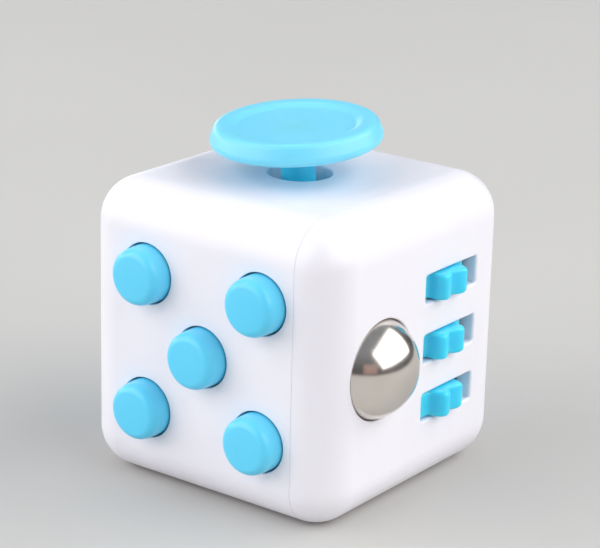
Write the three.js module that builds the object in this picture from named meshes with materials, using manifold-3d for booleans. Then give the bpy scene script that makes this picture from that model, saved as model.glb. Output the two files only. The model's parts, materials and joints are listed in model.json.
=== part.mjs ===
// Fidget cube: a hollow cube with a different small mechanism behind each face.
// Millimetres, +Z up. The origin is the centre of the cube's bottom face.
// Every module is drawn in its own face frame: u across, v up, w outward, with w = 0 at the cube's centre.
import * as THREE from "three";
import { RoundedBoxGeometry } from "three/addons/geometries/RoundedBoxGeometry.js";
import { mergeVertices } from "three/addons/utils/BufferGeometryUtils.js";
import Module from "manifold-3d";

const wasm = await Module();
wasm.setup();
const { Manifold, Mesh } = wasm;
const { degToRad, radToDeg } = THREE.MathUtils;

// Cube
const SIDE = 33;
const HALF = SIDE / 2;
const EDGE_R = 4.76;
const WALL = 1.8;
const INNER = HALF - WALL;
const CAVITY_R = 3;
const ROOT = INNER + 0.3; // bosses are rooted this far into the wall
const SEAM = 11.8; // where the roll cover meets the main shell
const PIN_AT = 13; // locating pins, from the cube's axis
const PIN_R = 0.8;
const POST_R = 1.7;
const BEYOND = 20; // further out than any surface

// Screws
const SHANK_R = 0.8;
const PILOT_R = 0.85;
const CLEAR_R = 0.9;
const HEAD_R = 1.6;
const HEAD_H = 0.9;
const TIP_H = 0.6;
const SPARE = 0.4; // depth of a pilot hole beyond the screw's tip

// Click face
const BUTTON_PITCH = 7.52;
const BUTTON_R = 3.17;
const BUTTON_HOLE_R = 3.37;
const BUTTON_OUT = 2.45;
const BUTTON_EDGE_R = 1.1;
const FLANGE_R = 4;
const FLANGE_W = 13.8;
const PLUNGER_R = 1.6;
const PLUNGER_W = 12.6;
const BACKPLATE_W = 9;
const PAD_W = 10.2;
const PAD_T = 0.8;
const DOME_R = 1.9;

// Glide face
const PIVOT_W = 13;
const STICK_BALL_R = 3.8;
const STICK_SOCKET_R = 3.95;
const STICK_HOLE_R = 3.5;
const STICK_FLAT = 1.05; // top of the ball, from the pivot
const STEM_R = 1.85;
const SPIGOT_R = 1.4;
const SPIGOT_H = 1.1;
const CAP_R = 9.3;
const CAP_UNDER = 6.9; // from the pivot, as is its top
const CAP_TOP = 9.28;
const CAP_ROUND_R = 0.75;
const CAP_TAPER = 21; // degrees that its side leans in
const CAP_DISH_R = 6.4;
const CAP_DISH_DEPTH = 0.45;
const LEAN_X = degToRad(4.2);
const LEAN_Y = degToRad(-1.6);
const CUP_W = 3.9;
const CUP_R = 4.95;
const SADDLE_R = 4.3;
const EAR_W = 10.2;

// Roll face
const BALL_R = 5.66;
const SOCKET_R = 5.77;
const BALL = { u: -7.3, v: 0, w: 14.42 };
const COLLAR_R = 6.75;
const SEAT_R = 3.2;
const SEAT_W = 6.9;
const WHEEL_R = 4.72;
const WHEEL_VALLEY_R = 3.7;
const WHEEL_LOBES = 8;
const WHEEL_T = 2.9;
const WHEEL_U = 4.45;
const WHEEL_W = 13.4;
const WHEEL_PITCH = 6.65;
const WHEELS = { upper: 21, middle: 21, lower: 29.5 }; // each wheel's turn, in degrees
const HUB_R = 1.4;
const AXLE_R = 0.8;
const AXLE_END = 11.25;
const SLOT_FROM = 0.4;
const SLOT_TO = 10.06;
const SLOT_V = 1.64; // half height
const POCKET_FROM = -0.4;
const POCKET_W = 16;
const TRAY_W = 5.3;
const TRAY_T = 0.8;

// Flip face
const ROCKER_W = 13.4; // pivot
const ROCKER_R = 6.8;
const ROCKER_SOCKET_R = 7;
const ROCKER_CROWN = 3.3;
const ROCKER_TURN = degToRad(12);
const YOKE_W = 9.4;
const YOKE_T = 1;

// Spin face
const DIAL_R = 8;
const DIAL_OUT = 1.5;
const DIAL_EDGE_R = 0.7;
const DIAL_W = 15.85;
const DIAL_RECESS_W = 15.7;
const DIAL_STEM_R = 2;
const NUB_R = 1.6;
const NUB_V = 4.3;
const NUB_OUT = 2.8;
const CLICK_WHEEL_W = 12.6;
const CLICK_WHEEL_T = 0.95;
const CLICK_LOBES = 12;

// Rest face
const DISH_R = 10.2;
const DISH_DEPTH = 1.8;
const DISH_SHARE = 0.8; // height over width

// Materials
const paint = (color, roughness, metalness = 0) =>
  new THREE.MeshStandardMaterial({ color, roughness, metalness });
const white = paint(0xf1f0f6, 0.38);
const cyan = paint(0x58cdfb, 0.35);
const natural = paint(0xe4e2da, 0.5);
const silicone = paint(0xd7dce0, 0.75);
const chrome = paint(0xc9c6c0, 0.08, 1);
const steel = paint(0x9ea3a8, 0.3, 1);
const zinc = paint(0xb4b6b8, 0.35, 1);

// Solids
function solid(geometry) {
  geometry.deleteAttribute("normal");
  geometry.deleteAttribute("uv");
  const g = mergeVertices(geometry, 1e-4);
  const vertProperties = g.attributes.position.array;
  return new Manifold(new Mesh({ numProp: 3, vertProperties, triVerts: new Uint32Array(g.index.array) }));
}

function geometryOf(body) {
  const m = body.getMesh();
  return new THREE.BufferGeometry()
    .setAttribute("position", new THREE.BufferAttribute(new Float32Array(m.vertProperties), 3))
    .setIndex(new THREE.BufferAttribute(new Uint32Array(m.triVerts), 1));
}

const moved = (body, matrix) => solid(geometryOf(body).applyMatrix4(matrix));
const join = (...bodies) => bodies.reduce((a, b) => a.add(b));
const cut = (body, ...tools) => tools.reduce((a, b) => a.subtract(b), body);
const points2 = (pairs) => pairs.map(([x, y]) => new THREE.Vector2(x, y));

function block(u0, u1, v0, v1, w0, w1) {
  const box = new THREE.BoxGeometry(u1 - u0, v1 - v0, w1 - w0);
  return solid(box.translate((u0 + u1) / 2, (v0 + v1) / 2, (w0 + w1) / 2));
}

// A profile of [radius, w] pairs turned about the w axis.
function turned(profile, segments = 24, u = 0, v = 0) {
  return solid(new THREE.LatheGeometry(points2(profile), segments).rotateX(Math.PI / 2).translate(u, v, 0));
}

const rod = (r, w0, w1, u = 0, v = 0, segments = 24) =>
  turned([[0, w0], [r, w0], [r, w1], [0, w1]], segments, u, v);

const sphere = (r, u, v, w, across = 28, down = 16) =>
  solid(new THREE.SphereGeometry(r, across, down).rotateX(Math.PI / 2).translate(u, v, w));

function plate(outline, w0, w1) {
  const shape = new THREE.Shape(points2(outline));
  return solid(new THREE.ExtrudeGeometry(shape, { depth: w1 - w0, bevelEnabled: false }).translate(0, 0, w0));
}

// A rod along v.
const barV = (r, v0, v1, u, w, segments = 16) =>
  solid(new THREE.CylinderGeometry(r, r, v1 - v0, segments).translate(u, (v0 + v1) / 2, w));

// A rod along u.
function barU(r, u0, u1, v, w, segments = 16) {
  const bar = new THREE.CylinderGeometry(r, r, u1 - u0, segments).rotateZ(Math.PI / 2);
  return solid(bar.translate((u0 + u1) / 2, v, w));
}

const axes = (x, y, z) =>
  new THREE.Matrix4().makeBasis(new THREE.Vector3(...x), new THREE.Vector3(...y), new THREE.Vector3(...z));
const TURN_TO_U = axes([0, 1, 0], [0, 0, 1], [1, 0, 0]);
const TURN_TO_V = axes([0, 0, 1], [1, 0, 0], [0, 1, 0]);

// A strip drawn in the (v, w) plane and pushed out along u.
const stripU = (outline, u0, u1) => moved(plate(outline, u0, u1), TURN_TO_U);

// A strip drawn in the (u, w) plane and pushed out along v.
const stripV = (outline, v0, v1) => moved(plate(outline.map(([u, w]) => [w, u]), v0, v1), TURN_TO_V);

// Points on an arc about [r0, w0], between two angles in degrees.
const arc = (r0, w0, radius, from, to, steps) =>
  Array.from({ length: steps + 1 }, (_, i) => {
    const a = degToRad(from + ((to - from) * i) / steps);
    return [r0 + radius * Math.cos(a), w0 + radius * Math.sin(a)];
  });

// Points round a wheel with soft lobes.
const LOBE_FULLNESS = 0.9;
const lobed = (tip, valley, lobes, turnDegrees, perLobe = 8) =>
  Array.from({ length: lobes * perLobe }, (_, i) => {
    const a = (2 * Math.PI * i) / (lobes * perLobe);
    const r = valley + (tip - valley) * ((1 + Math.cos(lobes * a)) / 2) ** LOBE_FULLNESS;
    const t = a + degToRad(turnDegrees);
    return [r * Math.cos(t), r * Math.sin(t)];
  });

// A leaf of the given thickness over a list of [along, w] points.
const leaf = (line, thick) => [...line, ...line.map(([x, w]) => [x, w + thick]).reverse()];

class Coil extends THREE.Curve {
  constructor(radius, w0, w1, turns, u, v) {
    super();
    Object.assign(this, { radius, w0, w1, turns, u, v });
  }

  getPoint(t, target = new THREE.Vector3()) {
    const a = 2 * Math.PI * this.turns * t;
    const w = this.w0 + (this.w1 - this.w0) * t;
    return target.set(this.u + this.radius * Math.cos(a), this.v + this.radius * Math.sin(a), w);
  }
}

function coilSpring(radius, wire, w0, w1, turns, u = 0, v = 0) {
  const section = new THREE.Shape(points2(arc(0, 0, wire, 0, 288, 4)));
  const extrudePath = new Coil(radius, w0 + wire, w1 - wire, turns, u, v);
  return solid(new THREE.ExtrudeGeometry(section, { steps: turns * 12, extrudePath }));
}

// Fasteners
// A pan-head screw pointing outward, with the underside of its head at w.
function screw(u, v, w, length) {
  const head = [[0, w - HEAD_H], [HEAD_R * 0.8, w - HEAD_H], [HEAD_R, w - HEAD_H / 2], [HEAD_R, w]];
  const shank = [[SHANK_R, w], [SHANK_R, w + length - TIP_H], [0, w + length]];
  return turned([...head, ...shank], 12, u, v);
}

// Screws through a plate between w0 and w1, each into its own boss on the wall.
function fasten(m, name, spots, w0, w1, length, bossR) {
  spots.forEach(([u, v], i) => {
    m.put(`${name}_${i + 1}`, screw(u, v, w0, length), zinc);
    m.adds.push(rod(bossR, w1, ROOT, u, v, 16));
    m.cuts.push(rod(PILOT_R, w1 - 0.2, w0 + length + SPARE, u, v, 12));
  });
}

const holes = (spots, r, w0, w1) => spots.map(([u, v]) => rod(r, w0 - 1, w1 + 1, u, v, 16));

// Face frames
const faceMatrix = (u, v, w) => axes(u, v, w).setPosition(0, 0, HALF);
const FACES = {
  click: faceMatrix([1, 0, 0], [0, 0, 1], [0, -1, 0]),
  glide: faceMatrix([1, 0, 0], [0, 1, 0], [0, 0, 1]),
  roll: faceMatrix([0, 1, 0], [0, 0, 1], [1, 0, 0]),
  flip: faceMatrix([-1, 0, 0], [0, 0, 1], [0, 1, 0]),
  spin: faceMatrix([0, -1, 0], [0, 0, 1], [-1, 0, 0]),
  rest: faceMatrix([1, 0, 0], [0, -1, 0], [0, 0, -1]),
};

const fidgetCube = new THREE.Group();
fidgetCube.name = "fidget_cube";

// A face's own group, with what it adds to the shell (bosses) and what it cuts out of it.
function module(face) {
  const group = new THREE.Group();
  group.name = face + "_module";
  group.applyMatrix4(FACES[face]);
  fidgetCube.add(group);
  const put = (name, body, material, parent = group) => {
    const mesh = new THREE.Mesh(geometryOf(body), material);
    mesh.name = name;
    parent.add(mesh);
  };
  return { face, group, adds: [], cuts: [], put };
}

// Click: five buttons over a silicone pad, three of them on metal snap domes.
function clickModule() {
  const m = module("click");
  const p = BUTTON_PITCH;
  const spots = {
    upper_left: [-p, p],
    upper_right: [p, p],
    centre: [0, 0],
    lower_left: [-p, -p],
    lower_right: [p, -p],
  };
  const top = HALF + BUTTON_OUT;
  const flangeTop = FLANGE_W + 0.8;
  const button = [
    [0, PLUNGER_W], [PLUNGER_R, PLUNGER_W], [PLUNGER_R, FLANGE_W], [FLANGE_R, FLANGE_W],
    [FLANGE_R, flangeTop], [BUTTON_R + 0.04, flangeTop], [BUTTON_R, HALF],
    ...arc(BUTTON_R - 0.2 - BUTTON_EDGE_R, top - BUTTON_EDGE_R, BUTTON_EDGE_R, 0, 90, 3), [0, top],
  ];
  for (const [name, [u, v]] of Object.entries(spots)) {
    m.put("button_" + name, turned(button, 20, u, v), cyan);
    m.cuts.push(rod(BUTTON_HOLE_R, INNER - 1, HALF + 1, u, v, 20));
  }

  // The pad and backplate leave room for the ball's collar and the tray beside it.
  const padTop = PAD_W + PAD_T;
  const bumpTop = PLUNGER_W - 0.1;
  const outline = [
    [-12.2, -10.6], [-10.6, -12.2], [9.4, -12.2], [10.6, -11],
    [10.6, 11], [9.4, 12.2], [-10.6, 12.2], [-12.2, 10.6],
  ];
  const ballGap = (r) => rod(r, BACKPLATE_W - 1, padTop + 2, 13.2, 0, 32);
  const trayGap = block(2.85, 12, -4.55, 4.55, BACKPLATE_W - 1, padTop + 1);
  const bump = [[0, padTop - 0.4], [2.7, padTop - 0.4], [2.7, padTop + 0.2], [DOME_R, bumpTop], [0, bumpTop]];
  const hollow = [
    [0, PAD_W - 0.2], [2.2, PAD_W - 0.2], [2.2, padTop - 0.1], [1.5, bumpTop - 0.4], [0, bumpTop - 0.4],
  ];
  const dome = [
    [0, padTop - 0.5], [1, padTop - 0.58], [DOME_R, PAD_W + 0.02],
    [DOME_R, PAD_W + 0.22], [1, padTop - 0.36], [0, padTop - 0.28],
  ];
  const screws = [[0, 7.5], [0, -7.5], [-7.5, 0]];
  const bosses = holes(screws, 2.1, PAD_W, padTop);
  const places = Object.values(spots);
  const bumps = places.map(([u, v]) => turned(bump, 16, u, v));
  const hollows = places.map(([u, v]) => turned(hollow, 16, u, v));
  const pad = join(plate(outline, PAD_W, padTop), ...bumps);
  m.put("button_pad", cut(pad, ...hollows, ballGap(5.5), trayGap, ...bosses), silicone);
  const back = cut(plate(outline, BACKPLATE_W, PAD_W), ballGap(6.2), trayGap);
  m.put("button_backplate", cut(back, ...holes(screws, CLEAR_R, BACKPLATE_W, PAD_W)), natural);
  fasten(m, "button_screw", screws, BACKPLATE_W, PAD_W, 4.2, 1.9);
  for (const name of ["upper_left", "centre", "lower_right"])
    m.put("snap_dome_" + name, turned(dome, 14, ...spots[name]), steel);
  return m;
}

// Glide: a thumb stick on a ball joint, held up by a sprung saddle in a cup.
function glideModule() {
  const m = module("glide");
  m.cuts.push(rod(STICK_HOLE_R, INNER - 1, HALF + 1, 0, 0, 32));
  m.cuts.push(sphere(STICK_SOCKET_R, 0, 0, PIVOT_W, 32, 20));

  const earTop = EAR_W + 0.8;
  const floor = CUP_W + 0.8;
  const step = CUP_W + 3.7;
  const cup = turned([
    [0, CUP_W], [3.6, CUP_W], [3.6, step], [CUP_R, step], [CUP_R, earTop], [CUP_R - 0.53, earTop],
    [CUP_R - 0.53, step + 0.8], [2.9, step + 0.8], [2.9, floor], [0, floor],
  ], 28);
  const ears = cut(block(-1.9, 1.9, -8.3, 8.3, EAR_W, earTop), rod(4.6, EAR_W - 1, earTop + 1, 0, 0, 28));
  const screws = [[0, -6.7], [0, 6.7]];
  m.put("joystick_cup", cut(join(cup, ears), ...holes(screws, CLEAR_R, EAR_W, earTop)), natural);
  fasten(m, "joystick_screw", screws, EAR_W, earTop, 3.2, 1.7);
  m.put("joystick_spring", coilSpring(2.2, 0.28, floor + 0.02, PIVOT_W - 3.92, 4), steel);

  const pivot = new THREE.Group();
  pivot.position.z = PIVOT_W;
  const saddleLean = new THREE.Group();
  saddleLean.name = "joystick_saddle_lean";
  saddleLean.rotation.x = LEAN_X;
  const stickLean = new THREE.Group();
  stickLean.name = "joystick_lean";
  stickLean.rotation.set(LEAN_X, LEAN_Y, 0);
  pivot.add(saddleLean, stickLean);
  m.group.add(pivot);

  const bowl = [...arc(0, 0, SADDLE_R, -65, -12, 4), ...arc(0, 0, STICK_BALL_R + 0.08, -12, -65, 4)];
  m.put("joystick_saddle", turned([...bowl, bowl[0]], 24), natural, saddleLean);

  const flat = radToDeg(Math.asin(STICK_FLAT / STICK_BALL_R));
  const ball = arc(0, 0, STICK_BALL_R, -55, flat, 6);
  const spigotTop = CAP_UNDER + SPIGOT_H;
  m.put("joystick_stem", turned([
    [0, ball[0][1]], ...ball, [STEM_R, STICK_FLAT], [STEM_R, CAP_UNDER - 0.05],
    [SPIGOT_R, CAP_UNDER - 0.05], [SPIGOT_R, spigotTop], [0, spigotTop],
  ], 24), cyan, stickLean);

  // Its side leans in from a wide foot to a narrower crown.
  const foot = [CAP_R - CAP_ROUND_R, CAP_UNDER + CAP_ROUND_R];
  const edgeW = CAP_TOP - CAP_ROUND_R;
  const edge = [foot[0] - (edgeW - foot[1]) * Math.tan(degToRad(CAP_TAPER)), edgeW];
  const dishW = CAP_TOP - CAP_DISH_DEPTH;
  m.put("joystick_cap", turned([
    [0, spigotTop + 0.15], [SPIGOT_R + 0.1, spigotTop + 0.15], [SPIGOT_R + 0.1, CAP_UNDER],
    ...arc(...foot, CAP_ROUND_R, -90, CAP_TAPER, 5), ...arc(...edge, CAP_ROUND_R, CAP_TAPER, 90, 4),
    [CAP_DISH_R + CAP_DISH_DEPTH, CAP_TOP - 0.05], [CAP_DISH_R, dishW], [0, dishW - 0.05],
  ], 40), cyan, stickLean);
  return m;
}

// Roll, first half: a captive steel ball that also clicks.
function addBall(m) {
  const { u, v, w } = BALL;
  const collar = rod(COLLAR_R, SEAM - 0.2, ROOT, u, v, 36);
  m.adds.push(collar.subtract(block(-0.6, 2, -8, 8, SEAM - 1, HALF)));
  m.cuts.push(sphere(SOCKET_R, u, v, w, 36, 20), rod(SOCKET_R, SEAM - 1, w, u, v, 36));
  m.put("ball", sphere(BALL_R, u, v, w), chrome);

  const cradleR = BALL_R + 0.06;
  const lip = radToDeg(Math.asin(SEAT_R / cradleR));
  const seat = [[0, SEAT_W], [SEAT_R, SEAT_W], ...arc(0, w, cradleR, lip - 90, -90, 4)];
  m.put("ball_seat", turned(seat, 24, u, v), natural);
  m.put("ball_spring", coilSpring(2.4, 0.25, 3.72, SEAT_W - 0.02, 3, u, v), steel);
}

// Roll, second half: three lobed wheels on one axle.
function addWheels(m) {
  const clickV = WHEEL_T / 2 - 0.5;
  const trayTop = TRAY_W + TRAY_T;
  const clickT = 0.2;
  const clickW = trayTop + 0.02;
  let click = block(-0.5, 0.8, -WHEEL_PITCH - 1, WHEEL_PITCH + 1, clickW, clickW + clickT);
  const bore = barV(AXLE_R + 0.08, -12, 12, WHEEL_U, WHEEL_W);
  const groove = 1.5 * WHEEL_PITCH + 0.2; // the hubs run in a groove across the ribs between the slots
  m.cuts.push(barV(HUB_R + 0.25, -groove, groove, WHEEL_U, WHEEL_W, 20));
  Object.entries(WHEELS).forEach(([name, turn], i) => {
    const v = WHEEL_PITCH * (1 - i);
    m.cuts.push(block(SLOT_FROM, SLOT_TO, v - SLOT_V, v + SLOT_V, POCKET_W - 0.1, HALF + 1));
    m.cuts.push(block(POCKET_FROM, SLOT_TO, v - SLOT_V, v + SLOT_V, INNER - 1, POCKET_W));
    const disc = plate(lobed(WHEEL_R, WHEEL_VALLEY_R, WHEEL_LOBES, turn), -WHEEL_T / 2, WHEEL_T / 2);
    const upright = TURN_TO_V.clone().setPosition(WHEEL_U, v, WHEEL_W);
    const hub = barV(HUB_R, v - WHEEL_PITCH / 2 + 0.02, v + WHEEL_PITCH / 2 - 0.02, WHEEL_U, WHEEL_W, 20);
    m.put("wheel_" + name, cut(join(moved(disc, upright), hub), bore), cyan);
    const finger = leaf([[0.6, clickW], [5.6, WHEEL_W - WHEEL_R - 0.35]], clickT);
    click = click.add(stripV(finger, v - clickV, v + clickV));
  });
  m.put("wheel_axle", barV(AXLE_R, -AXLE_END, AXLE_END, WHEEL_U, WHEEL_W), steel);
  m.put("wheel_click_spring", click, steel);
}

// Roll: both halves on one tray, which is screwed to the cover.
function rollModule() {
  const m = module("roll");
  addBall(m);
  addWheels(m);
  for (const u of [-PIN_AT, PIN_AT])
    for (const v of [-PIN_AT, PIN_AT])
      m.adds.push(rod(POST_R, SEAM, ROOT, u, v, 16), rod(PIN_R, SEAM - 1.6, SEAM + 1, u, v, 16));

  const trayTop = TRAY_W + TRAY_T;
  const armTop = WHEEL_W + AXLE_R + 0.3;
  const arms = [-1, 1].map((side) => {
    const [v0, v1] = [side * AXLE_END, side * (AXLE_END - 1.2)].sort((a, b) => a - b);
    return block(WHEEL_U - 2.5, WHEEL_U + 2.5, v0, v1, trayTop - 0.1, armTop);
  });
  const tray = join(
    block(-0.8, 8.9, -AXLE_END, AXLE_END, TRAY_W, trayTop),
    block(-8.6, -0.6, -10.5, 10.5, TRAY_W, trayTop),
    block(8.7, 14, 8.1, 11.3, TRAY_W, trayTop),
    block(8.7, 14, -11.3, -8.1, TRAY_W, trayTop),
    rod(4, 3, trayTop, BALL.u, BALL.v, 28),
    ...arms,
  );
  const well = rod(SEAT_R + 0.15, 3.7, trayTop + 1, BALL.u, BALL.v, 24);
  const axleHole = barV(AXLE_R + 0.06, -12, 12, WHEEL_U, WHEEL_W);
  const screws = [[12.3, 9.7], [12.3, -9.7], [-6.9, 8.9], [-6.9, -8.9]];
  m.put("roll_frame", cut(tray, well, axleHole, ...holes(screws, CLEAR_R, TRAY_W, trayTop)), natural);
  fasten(m, "roll_screw", screws, TRAY_W, trayTop, 4.6, 1.6);
  return m;
}

// Flip: a round two-way rocker on a pin, clicking over an arched leaf.
function flipModule() {
  const m = module("flip");
  m.cuts.push(sphere(ROCKER_SOCKET_R, 0, 0, ROCKER_W, 36, 20));
  const tilt = new THREE.Group();
  tilt.name = "rocker_tilt";
  tilt.position.z = ROCKER_W;
  tilt.rotation.x = ROCKER_TURN;
  m.group.add(tilt);

  // Two flat halves that meet in a shallow valley over the pin.
  const far = 9;
  const wing = ROCKER_CROWN + far * Math.tan(ROCKER_TURN);
  const wedge = stripU([[-far, -1.6], [far, -1.6], [far, wing], [0, ROCKER_CROWN], [-far, wing]], -8, 8);
  const nose = block(-2, 2, -0.6, 0.6, -2.4, -1.5);
  const paddle = join(sphere(ROCKER_R, 0, 0, 0, 32, 20).intersect(wedge), nose);
  m.put("rocker", cut(paddle, barU(AXLE_R + 0.08, -8, 8, 0, 0)), cyan, tilt);
  m.put("rocker_pin", barU(AXLE_R, -8, 8, 0, ROCKER_W), steel);

  const yokeTop = YOKE_W + YOKE_T;
  const yoke = join(
    block(-8, 8, -5.5, 5.5, YOKE_W, yokeTop),
    block(-2.4, 2.4, -11.4, 11.4, YOKE_W, yokeTop),
    block(-8, -7.1, -2.2, 2.2, yokeTop - 0.1, ROCKER_W + 1.2),
    block(7.1, 8, -2.2, 2.2, yokeTop - 0.1, ROCKER_W + 1.2),
  );
  const screws = [[0, 9.6], [0, -9.6]];
  const pinHole = barU(AXLE_R + 0.06, -9, 9, 0, ROCKER_W);
  m.put("rocker_frame", cut(yoke, pinHole, ...holes(screws, CLEAR_R, YOKE_W, yokeTop)), natural);
  fasten(m, "rocker_screw", screws, YOKE_W, yokeTop, 4, 1.8);
  const low = yokeTop + 0.02;
  const arch = [[-5, low], [-4, low], [-1.2, low + 0.18], [1.2, low + 0.18], [4, low], [5, low]];
  m.put("rocker_click_spring", stripU(leaf(arch, 0.19), -1.6, 1.6), steel);
  return m;
}

// Spin: a dial with a finger nub, turning in detents.
function spinModule() {
  const m = module("spin");
  const top = HALF + DIAL_OUT;
  m.cuts.push(rod(DIAL_R + 0.3, DIAL_RECESS_W, HALF + 1, 0, 0, 32));
  m.cuts.push(rod(DIAL_STEM_R + 0.15, INNER - 1, HALF + 1));
  const stemW = CLICK_WHEEL_W + 1;
  const disc = turned([
    [0, stemW], [DIAL_STEM_R, stemW], [DIAL_STEM_R, DIAL_W], [DIAL_R, DIAL_W],
    ...arc(DIAL_R - DIAL_EDGE_R, top - DIAL_EDGE_R, DIAL_EDGE_R, 0, 90, 4),
    [6.6, top], [6.1, top - 0.35], [0, top - 0.45],
  ], 32);
  const nubTop = HALF + NUB_OUT;
  const nub = turned([
    [0, top - 1], [NUB_R, top - 1], ...arc(NUB_R - 0.7, nubTop - 0.7, 0.7, 0, 90, 3), [0, nubTop],
  ], 20, 0, NUB_V);
  m.put("dial", cut(join(disc, nub), rod(PILOT_R, stemW - 1, HALF + 0.1, 0, 0, 16)), cyan);

  const clickTop = CLICK_WHEEL_W + CLICK_WHEEL_T;
  const clickWheel = plate(lobed(3.9, 3.5, CLICK_LOBES, 180 / CLICK_LOBES, 4), CLICK_WHEEL_W, clickTop);
  m.put("dial_click_wheel", cut(clickWheel, ...holes([[0, 0]], CLEAR_R, CLICK_WHEEL_W, clickTop)), natural);
  m.put("dial_screw", screw(0, 0, CLICK_WHEEL_W, 3.6), zinc);

  // The spring lies over two feet, and a pip at its middle rides on the click wheel.
  const footW = 13.1;
  const footTop = footW + 0.2;
  const feet = [[-5.9, 5.2], [5.9, 5.2]];
  const spring = join(
    block(-4.6, 4.6, 4, 4.2, CLICK_WHEEL_W, footTop),
    block(-7.2, -4.4, 4, 6.4, footW, footTop),
    block(4.4, 7.2, 4, 6.4, footW, footTop),
    rod(0.4, CLICK_WHEEL_W, footTop, 0, 4.06, 12),
  );
  m.put("dial_click_spring", cut(spring, ...holes(feet, CLEAR_R, footW, footTop)), steel);
  const small = [[0, 12.5], [1.3, 12.5], [1.3, footW], [SHANK_R, footW], [SHANK_R, 14.2], [0, 14.6]];
  feet.forEach(([u, v], i) => {
    m.put(`dial_spring_screw_${i + 1}`, turned(small, 16, u, v), zinc);
    m.adds.push(rod(1.4, footTop, ROOT, u, v, 16));
    m.cuts.push(rod(PILOT_R, footTop - 0.2, 14.7, u, v, 12));
  });
  return m;
}

// Rest: an oval thumb dish in the face the cube stands on.
function restModule() {
  const m = module("rest");
  const floor = HALF - DISH_DEPTH;
  const profile = points2([
    [0, floor], [3, floor + 0.14], [6, floor + 0.6], [8.4, floor + 1.25], [DISH_R - 0.6, HALF - 0.12],
    [DISH_R, HALF + 0.02], [DISH_R, HALF + 1], [0, HALF + 1],
  ]);
  const dish = new THREE.LatheGeometry(profile, 32).rotateX(Math.PI / 2).scale(1, DISH_SHARE, 1);
  m.cuts.push(solid(dish));
  m.adds.push(rod(DISH_R + 0.8, floor - WALL, ROOT, 0, 0, 32));
  return m;
}

// Corner posts in the main shell, with sockets for the cover's pins.
function cornerPosts() {
  const adds = [];
  const cuts = [];
  for (const u of [-PIN_AT, PIN_AT])
    for (const v of [-PIN_AT, PIN_AT]) {
      adds.push(rod(POST_R, SEAM - 1.9, SEAM, u, v, 20));
      cuts.push(rod(PIN_R + 0.2, SEAM - 1.8, SEAM + 0.2, u, v, 16));
    }
  return { face: "roll", adds, cuts };
}

const roll = rollModule();
const others = [clickModule(), glideModule(), flipModule(), spinModule(), restModule(), cornerPosts()];

// The two shells share one rounded outside and one rounded cavity, and meet at the seam.
const roundedCube = (side, segments, r) =>
  solid(new RoundedBoxGeometry(side, side, side, segments, r).translate(0, 0, HALF));
const outside = roundedCube(SIDE, 4, EDGE_R);
const cavity = roundedCube(2 * INNER, 2, CAVITY_R);

function shell(name, x0, x1, modules) {
  const slab = block(x0, x1, -BEYOND, BEYOND, -BEYOND, SIDE + BEYOND);
  const walls = outside.intersect(slab).subtract(cavity);
  const inside = modules.flatMap((m) => m.adds.map((b) => moved(b, FACES[m.face])));
  const openings = modules.flatMap((m) => m.cuts.map((b) => moved(b, FACES[m.face])));
  const mesh = new THREE.Mesh(geometryOf(cut(join(walls, ...inside).intersect(outside), ...openings)), white);
  mesh.name = name;
  fidgetCube.add(mesh);
}

shell("main_shell", -BEYOND, SEAM, others);
shell("roll_cover", SEAM, BEYOND, [roll]);

export default fidgetCube;
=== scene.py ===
"""Fidget cube: finished surfaces, materials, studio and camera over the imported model.

Shapes are drawn in millimetres. A face frame has u across, v up and w outward, from the cube's centre.
"""

import json
import math

import bmesh
import bpy
from mathutils import Matrix, Vector


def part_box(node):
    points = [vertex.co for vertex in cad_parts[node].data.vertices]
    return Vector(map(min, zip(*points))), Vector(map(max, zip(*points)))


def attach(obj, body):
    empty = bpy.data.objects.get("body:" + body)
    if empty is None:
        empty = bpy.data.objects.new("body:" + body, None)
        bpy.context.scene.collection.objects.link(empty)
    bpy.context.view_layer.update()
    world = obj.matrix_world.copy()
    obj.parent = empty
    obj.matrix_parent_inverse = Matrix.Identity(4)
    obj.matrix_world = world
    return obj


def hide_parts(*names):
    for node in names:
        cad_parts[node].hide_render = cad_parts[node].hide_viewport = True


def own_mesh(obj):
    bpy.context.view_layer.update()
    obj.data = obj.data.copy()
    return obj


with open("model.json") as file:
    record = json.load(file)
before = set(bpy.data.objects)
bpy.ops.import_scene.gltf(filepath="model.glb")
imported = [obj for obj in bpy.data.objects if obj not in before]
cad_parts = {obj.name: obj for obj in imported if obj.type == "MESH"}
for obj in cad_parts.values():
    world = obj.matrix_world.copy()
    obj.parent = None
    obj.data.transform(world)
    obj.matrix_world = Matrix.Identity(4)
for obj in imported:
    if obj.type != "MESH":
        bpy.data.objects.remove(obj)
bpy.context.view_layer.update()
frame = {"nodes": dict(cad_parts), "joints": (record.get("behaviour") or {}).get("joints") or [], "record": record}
MM = 0.001

# ---------------------------------------------------------------- sizes, in millimetres


def box_mm(node):
    low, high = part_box(node)
    return low / MM, high / MM


def middle(node):
    low, high = box_mm(node)
    return (low + high) / 2


def joint_place(name):
    return Vector(next(j["pos_m"] for j in frame["joints"] if j["name"] == name)) / MM


SHELL_LOW, SHELL_HIGH = box_mm("main_shell")
SIDE = SHELL_HIGH.z - SHELL_LOW.z
HALF = SIDE / 2
SEAM_X = SHELL_HIGH.x
SEAM_GAP = 0.02
SEAM_EASE = 0.12  # how far from the seam its edge starts to draw in
EDGE_R = 4.76
WALL = 1.8
INNER = HALF - WALL
INNER_EDGE_R = 3.0

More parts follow.
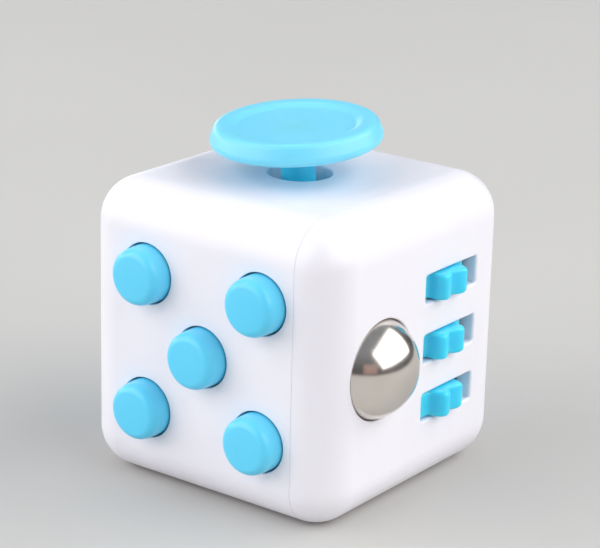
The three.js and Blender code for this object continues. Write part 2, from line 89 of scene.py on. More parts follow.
BUTTONS = ("upper_left", "upper_right", "centre", "lower_left", "lower_right")
BUTTON_R = 3.17
BUTTON_HOLE_R = 3.35
BUTTON_TOP = -box_mm("button_centre")[0].y
PLUNGER_R = 1.6
PLUNGER_FOOT = 12.6
FLANGE_R = 4.0
FLANGE_FOOT = 13.8
FLANGE_TOP = 14.6
PAD_TOP = 11.0
BUMP_R = 2.7
BUMP_HOLLOW_R = 2.15
BUMP_FOOT = PAD_TOP - 0.15
BUMP_TOP = PLUNGER_FOOT - 0.1
BUMP_SKIN = 0.4

PIVOT = joint_place("stick_tilt_x")
STICK_BALL_R = 3.8
STICK_HOLE_R = 3.5
STICK_FLAT = 1.05  # top of the ball, from the pivot
STEM_R = 1.85
TENON_R = 1.4
TENON_H = 1.1
CAP_R = 9.3
CAP_UNDER = 6.9
CAP_TOP = 9.28
CAP_ROUND_R = 0.75
CAP_TAPER = math.radians(21)
CAP_DISH_R = 6.4
CAP_DISH_DEPTH = 0.45
LEAN_X = math.radians(4.2)
LEAN_Y = math.radians(-1.6)

BALL_MID = middle("ball")
BALL_R = (box_mm("ball")[1].z - box_mm("ball")[0].z) / 2
BALL_PLAY = 0.11

WHEELS = {"upper": 21, "middle": 21, "lower": 29.5}  # how far each is turned, in degrees
WHEEL_R = 4.72
WHEEL_VALLEY_R = 3.7
WHEEL_LOBES = 8
LOBE_FULLNESS = 0.9
WHEEL_T = 2.9
WHEEL_ROUND_R = 0.5
WHEEL_HUB_R = 1.4
WHEEL_HUB_HALF = 3.3
WHEEL_HUB_EDGE = 0.12
WHEEL_BORE_R = 0.88
AXLE_MID = middle("wheel_axle")
SLOT_FROM = 0.45
SLOT_TO = 10.0
SLOT_V = 1.57
POCKET_FROM = -0.4
POCKET_W = 16

ROCKER_R = 6.8
ROCKER_MID = joint_place("rocker_flip")
ROCKER_TURN = math.radians(12)
ROCKER_CROWN = 3.3
ROCKER_BORE_R = 0.88

DIAL_R = 8.0
DIAL_OUT = 1.5
DIAL_UNDER = 15.9
DIAL_SHAFT_R = 2.0
DIAL_SHAFT_FOOT = 13.6
NUB_OFFSET = 4.3

DISH_DEPTH = 1.8
DISH_SHARE = 0.8  # height over width
DISH_BACKING_R = 11.0


def face_frame(v, w):
    """Maps a face's own u, v, w millimetres to the row frame's millimetres."""
    v, w = Vector(v), Vector(w)
    turn = Matrix((v.cross(w), v, w)).transposed().to_4x4()
    return Matrix.Translation((0, 0, HALF)) @ turn


UP = (0, 0, 1)
CLICK = face_frame(UP, (0, -1, 0))
GLIDE = face_frame((0, 1, 0), UP)
ROLL = face_frame(UP, (1, 0, 0))
FLIP = face_frame(UP, (0, 1, 0))
SPIN = face_frame(UP, (-1, 0, 0))
REST = face_frame((0, -1, 0), (0, 0, -1))

# ---------------------------------------------------------------- mesh helpers


def new_object(name, bm):
    mesh = bpy.data.meshes.new(name)
    bmesh.ops.recalc_face_normals(bm, faces=bm.faces)
    bm.to_mesh(mesh)
    bm.free()
    obj = bpy.data.objects.new(name, mesh)
    bpy.context.scene.collection.objects.link(obj)
    return obj


def apply_modifiers(obj):
    bpy.context.view_layer.update()
    graph = bpy.context.evaluated_depsgraph_get()
    mesh = bpy.data.meshes.new_from_object(obj.evaluated_get(graph))
    obj.modifiers.clear()
    obj.data = mesh


def filleted(corners, steps=7):
    """Turns (r, h, radius) corners into points, with an arc at each corner that has a radius."""
    points = []
    for i, (r, h, radius) in enumerate(corners):
        here = Vector((r, h))
        if radius == 0 or i in (0, len(corners) - 1):
            points.append(here)
            continue
        back = (Vector(corners[i - 1][:2]) - here).normalized()
        ahead = (Vector(corners[i + 1][:2]) - here).normalized()
        half = back.angle(ahead) / 2
        reach = radius / math.tan(half)
        hub = here + (back + ahead).normalized() * (radius / math.sin(half))
        start = here + back * reach - hub
        sweep = start.angle_signed(here + ahead * reach - hub)
        for k in range(steps + 1):
            turn = Matrix.Rotation(-sweep * k / steps, 2)
            points.append(hub + turn @ start)
    return points


def arc(r, h, radius, start, end, steps):
    """Points on an arc about (r, h), as corners without a fillet."""
    angles = [start + (end - start) * i / steps for i in range(steps + 1)]
    return [(r + radius * math.cos(a), h + radius * math.sin(a), 0) for a in angles]


def ring(bm, radii, h):
    """A closed ring of vertices; radii holds one radius for each vertex."""
    count = len(radii)
    return [
        bm.verts.new((r * math.cos(2 * math.pi * i / count), r * math.sin(2 * math.pi * i / count), h))
        for i, r in enumerate(radii)
    ]


def bridge(bm, low, high):
    """Faces between two rings; a ring of one vertex is a pole."""
    count = max(len(low), len(high))
    for i in range(count):
        k = (i + 1) % count
        if len(low) == 1:
            bm.faces.new((low[0], high[k], high[i]))
        elif len(high) == 1:
            bm.faces.new((low[i], low[k], high[0]))
        else:
            bm.faces.new((low[i], low[k], high[k], high[i]))


def revolved(name, corners, place=Matrix.Identity(4), steps=96):
    """A profile of (r, h, fillet) corners turned about its own w axis."""
    bm = bmesh.new()
    rings = []
    for r, h in filleted(corners):
        rings.append([bm.verts.new((0, 0, h))] if r < 1e-6 else ring(bm, [r] * steps, h))
    for low, high in zip(rings, rings[1:]):
        bridge(bm, low, high)
    if len(rings[0]) > 1:
        bridge(bm, rings[-1], rings[0])
    bm.transform(place)
    return new_object(name, bm)


def rounded_box(name, side, radius, segments):
    bm = bmesh.new()
    bmesh.ops.create_cube(bm, size=side)
    bmesh.ops.bevel(bm, geom=bm.edges[:], offset=radius, segments=segments, profile=0.5, affect="EDGES")
    bm.transform(Matrix.Translation((0, 0, HALF)))
    return new_object(name, bm)


def block(name, low, high, place=Matrix.Identity(4)):
    low, high = Vector(low), Vector(high)
    bm = bmesh.new()
    bmesh.ops.create_cube(bm, size=1)
    bm.transform(place @ Matrix.Translation((low + high) / 2) @ Matrix.Diagonal((*(high - low), 1)))
    return new_object(name, bm)


def rounded_rectangle(bm, half_u, half_v, corner, w, steps=5):
    """A closed ring of vertices round a rectangle with quarter-circle corners."""
    verts = []
    for quarter in range(4):
        for k in range(steps + 1):
            a = math.pi / 2 * (quarter + k / steps)
            side_u = math.copysign(half_u - corner, math.cos(math.pi / 2 * (quarter + 0.5)))
            side_v = math.copysign(half_v - corner, math.sin(math.pi / 2 * (quarter + 0.5)))
            verts.append(bm.verts.new((side_u + corner * math.cos(a), side_v + corner * math.sin(a), w)))
    return verts


def ball_mesh(name, radius, place, cuts=5):
    """An even, all-quad sphere."""
    bm = bmesh.new()
    bmesh.ops.create_cube(bm, size=2)
    for _ in range(cuts):
        bmesh.ops.subdivide_edges(bm, edges=bm.edges[:], cuts=1, use_grid_fill=True)
        for v in bm.verts:
            v.co.normalize()
    bm.transform(place @ Matrix.Scale(radius, 4))
    return new_object(name, bm)


def combine(target, operation, *others):
    """A boolean with each of the other objects, which are then removed."""
    for other in others:
        step = target.modifiers.new("combine", "BOOLEAN")
        step.solver = "EXACT"
        step.operation = operation
        step.object = other
    apply_modifiers(target)
    for other in others:
        bpy.data.objects.remove(other)
    return target


def soften(obj, width, segments, above):
    """Rounds every edge sharper than the given angle."""
    step = obj.modifiers.new("soften", "BEVEL")
    step.width = width
    step.segments = segments
    step.limit_method = "ANGLE"
    step.angle_limit = math.radians(above)
    apply_modifiers(obj)


def smooth(obj, above=40):
    """Smooth shading, with edges above the angle kept sharp and flat faces kept flat."""
    obj.data.shade_smooth()
    obj.data.set_sharp_from_angle(angle=math.radians(above))
    step = obj.modifiers.new("normals", "WEIGHTED_NORMAL")
    step.keep_sharp = True
    apply_modifiers(obj)
    return obj


def finish_piece(obj, material, slot, body, *nodes):
    """Scales a piece to metres, gives it its material, hides the CAD nodes it stands for and parents it to its
    body's empty.
    """
    obj.data.transform(Matrix.Scale(MM, 4))
    obj.data.materials.clear()
    obj.data.materials.append(material)
    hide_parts(*nodes)
    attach(obj, body)


# ---------------------------------------------------------------- materials


NOISE_LOW, NOISE_HIGH = 0.3, 0.7  # where nearly all of a noise texture's values lie


class Shader:
    """A Principled material and short ways to feed it."""

    def __init__(self, name, **sockets):
        self.material = bpy.data.materials.new(name)
        self.material.use_nodes = True
        self.tree = self.material.node_tree
        self.bsdf = next(n for n in self.tree.nodes if n.type == "BSDF_PRINCIPLED")
        for socket, value in sockets.items():
            self.bsdf.inputs[socket.replace("_", " ")].default_value = value
        self.place = self.tree.nodes.new("ShaderNodeTexCoord").outputs["Object"]

    def noise(self, size_mm, detail=4.0, roughness=0.5, stretch=(1, 1, 1)):
        mapping = self.tree.nodes.new("ShaderNodeMapping")
        mapping.inputs["Scale"].default_value = [s / (size_mm * MM) for s in stretch]
        self.tree.links.new(self.place, mapping.inputs["Vector"])
        node = self.tree.nodes.new("ShaderNodeTexNoise")
        node.inputs["Scale"].default_value = 1.0
        node.inputs["Detail"].default_value = detail
        node.inputs["Roughness"].default_value = roughness
        self.tree.links.new(mapping.outputs["Vector"], node.inputs["Vector"])
        return node.outputs["Fac"]

    def ramp(self, factor, low, high):
        node = self.tree.nodes.new("ShaderNodeMapRange")
        node.inputs["From Min"].default_value = NOISE_LOW
        node.inputs["From Max"].default_value = NOISE_HIGH
        node.inputs["To Min"].default_value = low
        node.inputs["To Max"].default_value = high
        self.tree.links.new(factor, node.inputs["Value"])
        return node.outputs["Result"]

    def colours(self, factor, low, high):
        node = self.tree.nodes.new("ShaderNodeValToRGB")
        node.color_ramp.elements[0].position = NOISE_LOW
        node.color_ramp.elements[0].color = (*low, 1)
        node.color_ramp.elements[1].position = NOISE_HIGH
        node.color_ramp.elements[1].color = (*high, 1)
        self.tree.links.new(factor, node.inputs["Fac"])
        return node.outputs["Color"]

    def bump(self, height, depth_mm, over=None):
        node = self.tree.nodes.new("ShaderNodeBump")
        node.inputs["Strength"].default_value = 1.0
        node.inputs["Distance"].default_value = depth_mm * MM
        self.tree.links.new(height, node.inputs["Height"])
        if over is not None:
            self.tree.links.new(over, node.inputs["Normal"])
        return node.outputs["Normal"]

    def feed(self, socket, value):
        self.tree.links.new(value, self.bsdf.inputs[socket])


def moulded(name, low, high, rough, grain_mm, grain_depth, **sockets):
    """Injection-moulded plastic: faint flow tone, spark-eroded grain and slightly uneven gloss."""
    s = Shader(name, IOR=1.53, **sockets)
    s.feed("Base Color", s.colours(s.noise(14, 3), low, high))
    s.feed("Roughness", s.ramp(s.noise(2.6, 5), rough - 0.04, rough + 0.05))
    grain = s.bump(s.noise(grain_mm, 3, 0.6), grain_depth)
    s.feed("Normal", s.bump(s.noise(5.5, 2), 0.012, over=grain))
    return s.material


def white_shell():
    return moulded("white_shell_plastic", (0.87, 0.858, 0.915), (0.895, 0.883, 0.94), 0.36, 0.16, 0.0035,
                   Subsurface_Weight=0.12, Subsurface_Radius=(1.0, 0.9, 0.8), Subsurface_Scale=0.0006)


def cyan_plastic(name, low, high, depth_mm=0.5, scatter=0.10):
    """Slightly translucent plastic; light goes deepest in blue."""
    return moulded(name, low, high, 0.33, 0.12, 0.0022, Subsurface_Weight=scatter,
                   Subsurface_Radius=(0.3, 0.8, 1.0), Subsurface_Scale=depth_mm * MM)


def natural_plastic():
    return moulded("natural_acetal", (0.72, 0.70, 0.64), (0.78, 0.76, 0.70), 0.45, 0.2, 0.004,
                   Subsurface_Weight=0.1, Subsurface_Radius=(1.0, 0.8, 0.6), Subsurface_Scale=0.0006)


def silicone():
    return moulded("silicone_rubber", (0.60, 0.64, 0.67), (0.66, 0.70, 0.73), 0.6, 0.3, 0.006,
                   Subsurface_Weight=0.4, Subsurface_Radius=(1.0, 1.0, 1.0), Subsurface_Scale=0.0008)


def polished_ball():
    """Tumbled bearing steel: a bright polish with a fine pitted grain."""
    s = Shader("polished_steel_ball", Metallic=1.0, IOR=2.5)
    s.feed("Base Color", s.colours(s.noise(3.5, 3), (0.70, 0.655, 0.605), (0.76, 0.715, 0.665)))
    s.feed("Roughness", s.ramp(s.noise(0.9, 6, 0.65), 0.15, 0.21))
    s.feed("Normal", s.bump(s.noise(0.16, 3, 0.7), 0.0011))
    return s.material


def spring_steel():
    s = Shader("spring_steel", Metallic=1.0)
    s.feed("Base Color", s.colours(s.noise(2, 4), (0.45, 0.45, 0.46), (0.58, 0.58, 0.59)))
    s.feed("Roughness", s.ramp(s.noise(0.5, 5), 0.22, 0.36))
    s.feed("Normal", s.bump(s.noise(0.12, 2, stretch=(1, 8, 1)), 0.001))
    return s.material


def zinc_screw():
    s = Shader("zinc_plate", Metallic=1.0)
    s.feed("Base Color", s.colours(s.noise(1.2, 4), (0.50, 0.51, 0.53), (0.62, 0.63, 0.64)))
    s.feed("Roughness", s.ramp(s.noise(0.4, 5), 0.3, 0.45))
    s.feed("Normal", s.bump(s.noise(0.25, 3), 0.002))
    return s.material


def floor_material():
    s = Shader("studio_floor", Roughness=0.85)
    s.feed("Base Color", s.colours(s.noise(60, 3), (0.545, 0.537, 0.517), (0.56, 0.552, 0.532)))
    s.feed("Normal", s.bump(s.noise(0.8, 4), 0.01))
    return s.material


MATERIALS = {
    "white_shell": white_shell(),
    "cyan_plastic": cyan_plastic("cyan_plastic", (0.105, 0.66, 0.965), (0.125, 0.69, 0.985)),
    # A copy of the cyan plastic for the stem and the wheels. Its more saturated colour is painted light: it stands
    # in for the cyan light bounced about in the shade under the cap and in the slots.
    "shade_tinted_cyan": cyan_plastic("shade_tinted_cyan_plastic", (0.045, 0.67, 1.0), (0.06, 0.70, 1.0), 1.5, 0.8),
    # A paler copy of the cyan plastic for the thumb cap. Its lighter colour is a painted highlight: it stands in
    # for the top light that falls on the cap.
    "top_lit_cyan": cyan_plastic("top_lit_cyan_plastic", (0.19, 0.69, 0.93), (0.21, 0.72, 0.95), 2.5, 0.4),
    "natural_plastic": natural_plastic(),
    "silicone": silicone(),
    "polished_ball": polished_ball(),
    "spring_steel": spring_steel(),
    "zinc_screw": zinc_screw(),
}
WHITE, CYAN = MATERIALS["white_shell"], MATERIALS["cyan_plastic"]

for entry in frame["record"]["subparts"]:
    data = frame["nodes"][entry["node"]].data
    data.materials.clear()
    data.materials.append(MATERIALS[entry["material_slot"]])

# ---------------------------------------------------------------- the two shells

RIM = 0.2
BUTTON_RIM = 0.12
SLOT_RIM = 0.28
PROUD = 0.06  # how far a cutter stands out of the face


def mouth(r, rim):
    """The last corners of a cutter: a rounded rim that runs out of the face at a shallow angle."""
    return [(r, HALF - 0.02, rim), (r + 3 * rim, HALF + PROUD, 0), (0, HALF + PROUD, 0)]


def round_cutter(r, low, place, u=0.0, v=0.0, rim=RIM, steps=96):
    corners = [(0, low, 0), (r, low, 0), *mouth(r, rim)]
    return revolved("cutter", corners, place @ Matrix.Translation((u, v, 0)), steps)


def socket_cutter(radius, depth, place, u=0.0, v=0.0, foot=-90):
    """A ball socket whose centre lies depth millimetres from the cube's centre."""
    top = math.asin((HALF - 2.5 * RIM - depth) / radius)
    corners = arc(0, depth, radius, math.radians(foot), top, 24)
    r = math.sqrt(radius**2 - (HALF - depth) ** 2)
    if foot > -90:
        corners = [(0, INNER - 3, 0), (radius, INNER - 3, 0), *corners]
    return revolved("cutter", [*corners, *mouth(r, RIM)], place @ Matrix.Translation((u, v, 0)))


def button_place(name):
    spot = middle("button_" + name)
    return CLICK @ Matrix.Translation((spot.x, spot.z - HALF, 0))


def button_cutters():
    for name in BUTTONS:
        yield round_cutter(BUTTON_HOLE_R, INNER - 1, button_place(name), rim=BUTTON_RIM)


def stick_cutters():
    yield round_cutter(STICK_HOLE_R, INNER - 1, GLIDE)
    yield ball_mesh("cutter", STICK_BALL_R + 0.15, Matrix.Translation(PIVOT))


def rocker_cutters():
    yield socket_cutter(ROCKER_R + 0.2, ROCKER_MID.y, FLIP)


def dial_cutters():
    yield round_cutter(DIAL_R + 0.25, HALF - 0.8, SPIN)
    yield round_cutter(DIAL_SHAFT_R + 0.15, INNER - 1, SPIN)


def dish_cutters():
    """An oval thumb dish with a soft lip."""
    floor = HALF - DISH_DEPTH
    corners = [(0, floor, 0), (4.2, floor + 0.12, 8), (8.1, HALF - 0.62, 9), (9.55, HALF - 0.1, 3),
               (10.3, HALF + 0.03, 0), (10.3, HALF + 1, 0), (0, HALF + 1, 0)]
    yield revolved("cutter", corners, REST @ Matrix.Diagonal((1, DISH_SHARE, 1, 1)), 128)


def dish_backing():
    """Material behind the dish, so that the wall under it keeps its thickness."""
    low, high = HALF - DISH_DEPTH - WALL, HALF - 1
    corners = [(0, low, 0), (DISH_BACKING_R, low, 0), (DISH_BACKING_R, high, 0), (0, high, 0)]
    yield revolved("backing", corners, REST)


def ball_cutters():
    yield socket_cutter(BALL_R + BALL_PLAY, BALL_MID.x, ROLL, BALL_MID.y, BALL_MID.z - HALF, foot=0)


def slot_cutters():
    """Each wheel's slot: a narrow mouth with a rounded rim, and a wider pocket behind it."""
    centre = (SLOT_FROM + SLOT_TO) / 2
    length = (SLOT_TO - SLOT_FROM) / 2
    for name in WHEELS:
        place = ROLL @ Matrix.Translation((centre, middle("wheel_" + name).z - HALF, 0))
        bm = bmesh.new()
        layers = [(0, POCKET_W - 0.1)]
        layers += [(SLOT_RIM * (1 - math.cos(a)), HALF - SLOT_RIM * (1 - math.sin(a)))
                   for a in (math.radians(80) * k / 6 for k in range(7))]
        layers += [(2.5 * SLOT_RIM, HALF + PROUD)]
        rings = [rounded_rectangle(bm, length + out, SLOT_V + out, 0.3 + out, w) for out, w in layers]
        for low, high in zip(rings, rings[1:]):
            bridge(bm, low, high)
        bm.faces.new(rings[0])
        bm.faces.new(rings[-1])
        bm.transform(place)
        yield new_object("cutter", bm)
        yield block("cutter", (POCKET_FROM - centre, -SLOT_V, INNER - 1), (length, SLOT_V, POCKET_W), place)


def groove_cutter():
    """Room for the wheels' hubs across the ribs between the slots."""
    r, reach = WHEEL_HUB_R + 0.25, 10.2
    spot = Matrix.Translation((AXLE_MID.x, AXLE_MID.y, HALF))
    yield revolved("cutter", [(0, -reach, 0), (r, -reach, 0), (r, reach, 0), (0, reach, 0)], spot, 48)


def ease_seam(obj, x, inward):
    """Draws in the outer edge of the seam a little, so that two shells meet in a fine groove."""
    core = HALF - EDGE_R
    bm = bmesh.new()
    bm.from_mesh(obj.data)
    for share, drop in ((1.0, 0.0), (0.45, 0.006), (0.0, 0.022)):
        plane = x + inward * SEAM_EASE * share
        if share:
            bmesh.ops.bisect_plane(bm, geom=bm.verts[:] + bm.edges[:] + bm.faces[:],
                                   plane_co=(plane, 0, 0), plane_no=(1, 0, 0))
        for v in bm.verts:
            offset = Vector((0, v.co.y, v.co.z - HALF))
            nearest = Vector((0, max(-core, min(core, offset.y)), max(-core, min(core, offset.z))))
            on_plane = abs(v.co.x - plane) < 1e-4
            on_side = max(abs(offset.y), abs(offset.z)) > INNER + 0.3
            on_corner = (offset - nearest).length > EDGE_R - 0.5
            if on_plane and (on_side or on_corner):
                v.co -= (offset - nearest).normalized() * drop
    bm.to_mesh(obj.data)
    bm.free()


def shell(name, low_x, high_x, backing, cutters, node):
    """Part of the rounded cube between two x planes, hollow, with its openings."""
    body = rounded_box(name, SIDE, EDGE_R, 14)
    hollow = rounded_box("hollow", 2 * INNER, INNER_EDGE_R, 6)
    slab = block("slab", (low_x, -HALF - 1, -1), (high_x, HALF + 1, SIDE + 1))
    combine(body, "DIFFERENCE", hollow)
    combine(body, "UNION", *backing)
    combine(body, "DIFFERENCE", *cutters)
    combine(body, "INTERSECT", slab)
    seam, inward = (high_x, -1) if low_x < -HALF else (low_x, 1)
    ease_seam(body, seam, inward)
    smooth(body)
    finish_piece(body, WHITE, "white_shell", "housing", node)


def shells():
    cuts = [*button_cutters(), *stick_cutters(), *rocker_cutters(), *dial_cutters(), *dish_cutters()]
    shell("shell_moulding", -HALF - 1, SEAM_X - SEAM_GAP / 2, dish_backing(), cuts, "main_shell")
    cuts = [*ball_cutters(), *slot_cutters(), *groove_cutter()]
    shell("cover_moulding", SEAM_X + SEAM_GAP / 2, HALF + 1, [], cuts, "roll_cover")


# ---------------------------------------------------------------- moving pieces


def buttons():
    """Each button: a plunger, a flange that keeps it in, and a domed top."""
    profile = [(0, PLUNGER_FOOT, 0), (PLUNGER_R, PLUNGER_FOOT, 0.15), (PLUNGER_R, FLANGE_FOOT, 0.1),
               (FLANGE_R, FLANGE_FOOT, 0.12), (FLANGE_R, FLANGE_TOP, 0.12),
               (BUTTON_R + 0.04, FLANGE_TOP, 0.1), (BUTTON_R, HALF, 0),
               (BUTTON_R - 0.14, BUTTON_TOP - 0.1, 0.95), (1.2, BUTTON_TOP - 0.01, 2.0), (0, BUTTON_TOP, 0)]
    for name in BUTTONS:
        obj = smooth(revolved("push_button_" + name, profile, button_place(name)))
        finish_piece(obj, CYAN, "cyan_plastic", "button_" + name, "button_" + name)


def stick():
    """The stem with its ball, and the thumb cap, which sits on the stem's tenon."""
    lean = Matrix.Rotation(LEAN_X, 4, "X") @ Matrix.Rotation(LEAN_Y, 4, "Y")
    place = Matrix.Translation(PIVOT) @ lean
    ball = arc(0, 0, STICK_BALL_R, math.radians(-55), math.asin(STICK_FLAT / STICK_BALL_R), 20)
    stem = [(0, ball[0][1], 0), *ball, (STEM_R, STICK_FLAT, 0.3), (STEM_R, CAP_UNDER - 0.05, 0.12),
            (TENON_R, CAP_UNDER - 0.05, 0), (TENON_R, CAP_UNDER + TENON_H, 0.1), (0, CAP_UNDER + TENON_H, 0)]
    obj = smooth(revolved("stick_stem", stem, place))
    # The stem takes the shade-tinted copy of the cyan, whose colour is painted bounce light for the shade under
    # the cap.
    finish_piece(obj, MATERIALS["shade_tinted_cyan"], "cyan_plastic", "stick", "joystick_stem")

    foot_r, foot_h = CAP_R - CAP_ROUND_R, CAP_UNDER + CAP_ROUND_R
    edge_h = CAP_TOP - CAP_ROUND_R
    edge_r = foot_r - (edge_h - foot_h) * math.tan(CAP_TAPER)
    dish = CAP_TOP - CAP_DISH_DEPTH
    socket_r, socket_top = TENON_R + 0.1, CAP_UNDER + TENON_H + 0.15
    cap = [(0, socket_top, 0), (socket_r, socket_top, 0), (socket_r, CAP_UNDER, 0.1),
           *arc(foot_r, foot_h, CAP_ROUND_R, -math.pi / 2, CAP_TAPER, 12),
           *arc(edge_r, edge_h, CAP_ROUND_R, CAP_TAPER, math.pi / 2, 10),
           (CAP_DISH_R + 0.75, CAP_TOP - 0.02, 2.0), (CAP_DISH_R, dish, 0.35), (3, dish - 0.02, 6),
           (0.6, dish - 0.025, 0.2), (0.35, dish - 0.06, 0.15), (0, dish - 0.06, 0)]
    obj = smooth(revolved("thumb_cap", cap, place, 128))
    # The cap takes the paler copy of the cyan, whose lighter colour is a painted highlight for the top light on
    # it.
    finish_piece(obj, MATERIALS["top_lit_cyan"], "cyan_plastic", "stick", "joystick_cap")


def cad_copy(name, node):
    """A piece with the CAD node's own shape, in millimetres."""
    source = frame["nodes"][node]
    bm = bmesh.new()
    bm.from_mesh(source.data)
    bm.transform(Matrix.Scale(1 / MM, 4) @ source.matrix_world)
    bmesh.ops.remove_doubles(bm, verts=bm.verts[:], dist=0.0005)
    return new_object(name, bm)


def button_pad():
    """The silicone pad: a flat sheet, and under each button a hollow bump with a mesh of its own."""
    inside = BUMP_TOP - BUMP_SKIN
    profile = [(0, inside, 0), (1.5, inside, 0.1), (BUMP_HOLLOW_R, BUMP_FOOT, 0), (BUMP_R, BUMP_FOOT, 0),
               (BUMP_R, PAD_TOP + 0.2, 0.1), (1.9, BUMP_TOP, 0.15), (0, BUMP_TOP, 0)]
    sheet = cad_copy("button_pad_sheet", "button_pad")
    for name in BUTTONS:
        place = button_place(name)
        combine(sheet, "DIFFERENCE", round_cutter(BUMP_R + 0.05, BUMP_FOOT, place, rim=0))
        bump = smooth(revolved("button_bump_" + name, profile, place))
        finish_piece(bump, MATERIALS["silicone"], "silicone", "housing", "button_pad")
        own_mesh(bump)
    finish_piece(smooth(sheet), MATERIALS["silicone"], "silicone", "housing", "button_pad")


def ball_spring():
    coil = smooth(cad_copy("ball_spring_coil", "ball_spring"))
    finish_piece(coil, MATERIALS["spring_steel"], "spring_steel", "housing", "ball_spring")
    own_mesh(coil)


def steel_ball():
    obj = smooth(ball_mesh("steel_ball", BALL_R, Matrix.Translation(BALL_MID)))
    finish_piece(obj, MATERIALS["polished_ball"], "polished_ball", "ball", "ball")


def lobe_radii(turn, inset, count):
    """The lobed outline, drawn in by an inset."""
    radii = []
    for i in range(count):
        wave = (1 + math.cos(WHEEL_LOBES * (2 * math.pi * i / count - turn))) / 2
        radii.append(WHEEL_VALLEY_R + (WHEEL_R - WHEEL_VALLEY_R) * wave**LOBE_FULLNESS - inset)
    return radii


def wheels():
    """Three lobed wheels on one axle, each with a hub that keeps it apart from the next."""
    count = 20 * WHEEL_LOBES
    half = WHEEL_T / 2
    hub = WHEEL_HUB_HALF
    edge = [(WHEEL_ROUND_R * (1 - math.cos(a)), half - WHEEL_ROUND_R * (1 - math.sin(a)))
            for a in (math.pi / 2 * i / 6 for i in range(6, -1, -1))]
    layers = [(hub, WHEEL_BORE_R), (hub, WHEEL_HUB_R - WHEEL_HUB_EDGE), (hub - WHEEL_HUB_EDGE, WHEEL_HUB_R),
              (half, WHEEL_HUB_R)]
    for name, degrees in WHEELS.items():
        turn = math.radians(degrees)
        bm = bmesh.new()
        rings = [ring(bm, [r] * count, h) for h, r in layers]
        rings += [ring(bm, lobe_radii(turn, inset, count), h) for inset, h in edge]
        rings += [ring(bm, lobe_radii(turn, inset, count), -h) for inset, h in reversed(edge)]
        rings += [ring(bm, [r] * count, -h) for h, r in reversed(layers)]
        for low, high in zip(rings, rings[1:] + rings[:1]):
            bridge(bm, low, high)
        spot = Vector((AXLE_MID.x, AXLE_MID.y, middle("wheel_" + name).z))
        bm.transform(Matrix.Translation(spot))
        obj = smooth(new_object("lobed_wheel_" + name, bm), 50)
        # The wheels take the shade-tinted copy of the cyan, whose colour is painted bounce light for the shade in
        # their slots.
        finish_piece(obj, MATERIALS["shade_tinted_cyan"], "cyan_plastic", "wheel_" + name, "wheel_" + name)


def rocker():
    """A ball cut to two slopes that meet at its middle, with a nose for the click spring and a pin hole."""
    rise = 9 * math.tan(ROCKER_TURN)
    crown, r = ROCKER_CROWN, ROCKER_BORE_R
    paddle = ball_mesh("rocker_paddle", ROCKER_R - 0.02, Matrix.Identity(4))
    outline = [(-9, -1.6), (9, -1.6), (9, crown + rise), (0, crown), (-9, crown + rise)]
    bm = bmesh.new()
    ends = [[bm.verts.new((u, v, w)) for v, w in outline] for u in (-8, 8)]
    bm.faces.new(ends[0])
    bm.faces.new(ends[1])
    bridge(bm, *ends)
    combine(paddle, "INTERSECT", new_object("wedge", bm))
    combine(paddle, "UNION", block("nose", (-2, -0.6, -2.4), (2, 0.6, -1.4)))
    across = Matrix.Rotation(math.pi / 2, 4, "Y")
    pin_hole = revolved("cutter", [(0, -8, 0), (r, -8, 0), (r, 8, 0), (0, 8, 0)], across, 48)
    combine(paddle, "DIFFERENCE", pin_hole)
    soften(paddle, 0.35, 4, 30)
    place = FLIP @ Matrix.Translation((0, 0, ROCKER_MID.y)) @ Matrix.Rotation(ROCKER_TURN, 4, "X")
    paddle.data.transform(place)
    smooth(paddle, 50)
    finish_piece(paddle, CYAN, "cyan_plastic", "rocker", "rocker")


def dial():
    """A raised disc with a rim, a short shaft behind it and an off-centre nub to turn it by."""
    top = HALF + DIAL_OUT
    disc = revolved("dial_disc", [
        (0, DIAL_SHAFT_FOOT, 0), (DIAL_SHAFT_R, DIAL_SHAFT_FOOT, 0.1), (DIAL_SHAFT_R, DIAL_UNDER, 0.1),
        (DIAL_R, DIAL_UNDER, 0.15), (DIAL_R, top, 0.65),
        (6.5, top, 0.25), (6.0, top - 0.38, 0.35), (3, top - 0.44, 4), (0, top - 0.45, 0),
    ], SPIN)
    nub = revolved("nub", [
        (0, top - 1.2, 0), (2.4, top - 1.2, 0), (2.4, top - 0.5, 0), (1.62, top - 0.35, 0.5),
        (1.55, top + 1.28, 0.6), (0, top + 1.3, 0),
    ], SPIN @ Matrix.Translation((0, NUB_OFFSET, 0)), 64)
    combine(disc, "UNION", nub)
    smooth(disc, 50)
    finish_piece(disc, CYAN, "cyan_plastic", "dial", "dial")


# ---------------------------------------------------------------- studio


LIGHT_DISTANCE = 0.9
FLOOR_HALF = 1.5


def sky():
    """A dim room: dark at the horizon, brighter overhead."""
    world = bpy.data.worlds.new("studio")
    bpy.context.scene.world = world
    world.use_nodes = True
    tree = world.node_tree
    split = tree.nodes.new("ShaderNodeSeparateXYZ")
    tree.links.new(tree.nodes.new("ShaderNodeTexCoord").outputs["Generated"], split.inputs[0])
    ramp = tree.nodes.new("ShaderNodeValToRGB")
    ramp.color_ramp.elements[0].position = 0.0
    ramp.color_ramp.elements[0].color = (0.06, 0.055, 0.055, 1)
    ramp.color_ramp.elements[1].position = 0.75
    ramp.color_ramp.elements[1].color = (0.28, 0.30, 0.33, 1)
    tree.links.new(split.outputs["Z"], ramp.inputs["Fac"])
    tree.links.new(ramp.outputs["Color"], tree.nodes["Background"].inputs["Color"])


def direction(azimuth, elevation):
    """From the cube outward; azimuth 0 is in front of the buttons and 90 by the ball."""
    a, e = azimuth, elevation
    return Vector((math.sin(a) * math.cos(e), -math.cos(a) * math.cos(e), math.sin(e)))


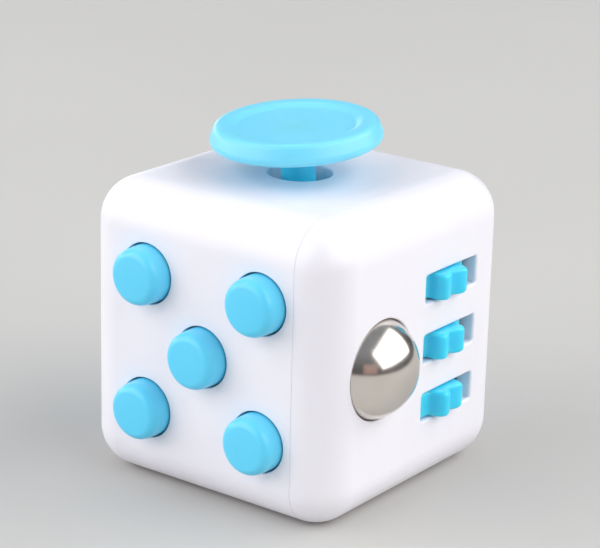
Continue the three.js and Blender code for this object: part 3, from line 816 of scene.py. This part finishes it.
def softbox(name, azimuth, elevation, size, power, colour):
    """An area light that faces the cube."""
    data = bpy.data.lights.new(name, "AREA")
    data.shape = "RECTANGLE"
    data.size, data.size_y = size
    data.energy = power
    data.color = colour
    obj = bpy.data.objects.new(name, data)
    aim = Vector((0, 0, HALF * MM))
    obj.location = aim + LIGHT_DISTANCE * direction(math.radians(azimuth), math.radians(elevation))
    obj.rotation_euler = (aim - obj.location).to_track_quat("-Z", "Y").to_euler()
    bpy.context.scene.collection.objects.link(obj)


def studio():
    bm = bmesh.new()
    bmesh.ops.create_grid(bm, x_segments=8, y_segments=8, size=FLOOR_HALF)
    floor = new_object("studio_floor", bm)
    floor.data.materials.append(floor_material())
    sky()
    softbox("right_softbox", 113, 37, (1.62, 0.80), 11.2, (1.0, 0.99, 0.985))
    softbox("left_softbox", -36, 27, (1.14, 0.88), 7.45, (1.0, 0.985, 1.0))
    softbox("overhead_softbox", 250, 66, (0.80, 0.60), 1.2, (0.98, 0.99, 1.0))
    softbox("warm_card", 46, 12, (0.45, 0.30), 0.16, (1.0, 0.60, 0.48))
    softbox("low_softbox", 262, 9, (1.40, 0.22), 2.4, (0.98, 0.99, 1.0))


# Distances in metres, and the lens in millimetres.
CAMERA_AZIMUTH = math.radians(36.63)
CAMERA_ELEVATION = math.radians(19.38)
CAMERA_DISTANCE = 0.24928
CAMERA_ROLL = math.radians(1.43)
CAMERA_LENS = 136.66
AIM_RIGHT = 0.00023
AIM_UP = 0.00475


def camera():
    """A long lens at the photograph's angle, aimed a little above the cube's centre."""
    data = bpy.data.cameras.new("camera")
    data.lens = CAMERA_LENS
    data.sensor_width = 36
    data.clip_start = 0.01
    obj = bpy.data.objects.new("camera", data)
    bpy.context.scene.collection.objects.link(obj)
    back = direction(CAMERA_AZIMUTH, CAMERA_ELEVATION)
    right = Vector((math.cos(CAMERA_AZIMUTH), math.sin(CAMERA_AZIMUTH), 0))
    centre = Vector((0, 0, HALF * MM))
    eye = centre + back * CAMERA_DISTANCE
    aim = centre + right * AIM_RIGHT + back.cross(right) * AIM_UP
    turn = (aim - eye).to_track_quat("-Z", "Y") @ Matrix.Rotation(CAMERA_ROLL, 3, "Z").to_quaternion()
    obj.rotation_mode = "QUATERNION"
    obj.location = eye
    obj.rotation_quaternion = turn
    bpy.context.scene.camera = obj


camera()
studio()
shells()
buttons()
button_pad()
stick()
steel_ball()
ball_spring()
wheels()
rocker()
dial()
bpy.context.scene.view_settings.view_transform = "Standard"
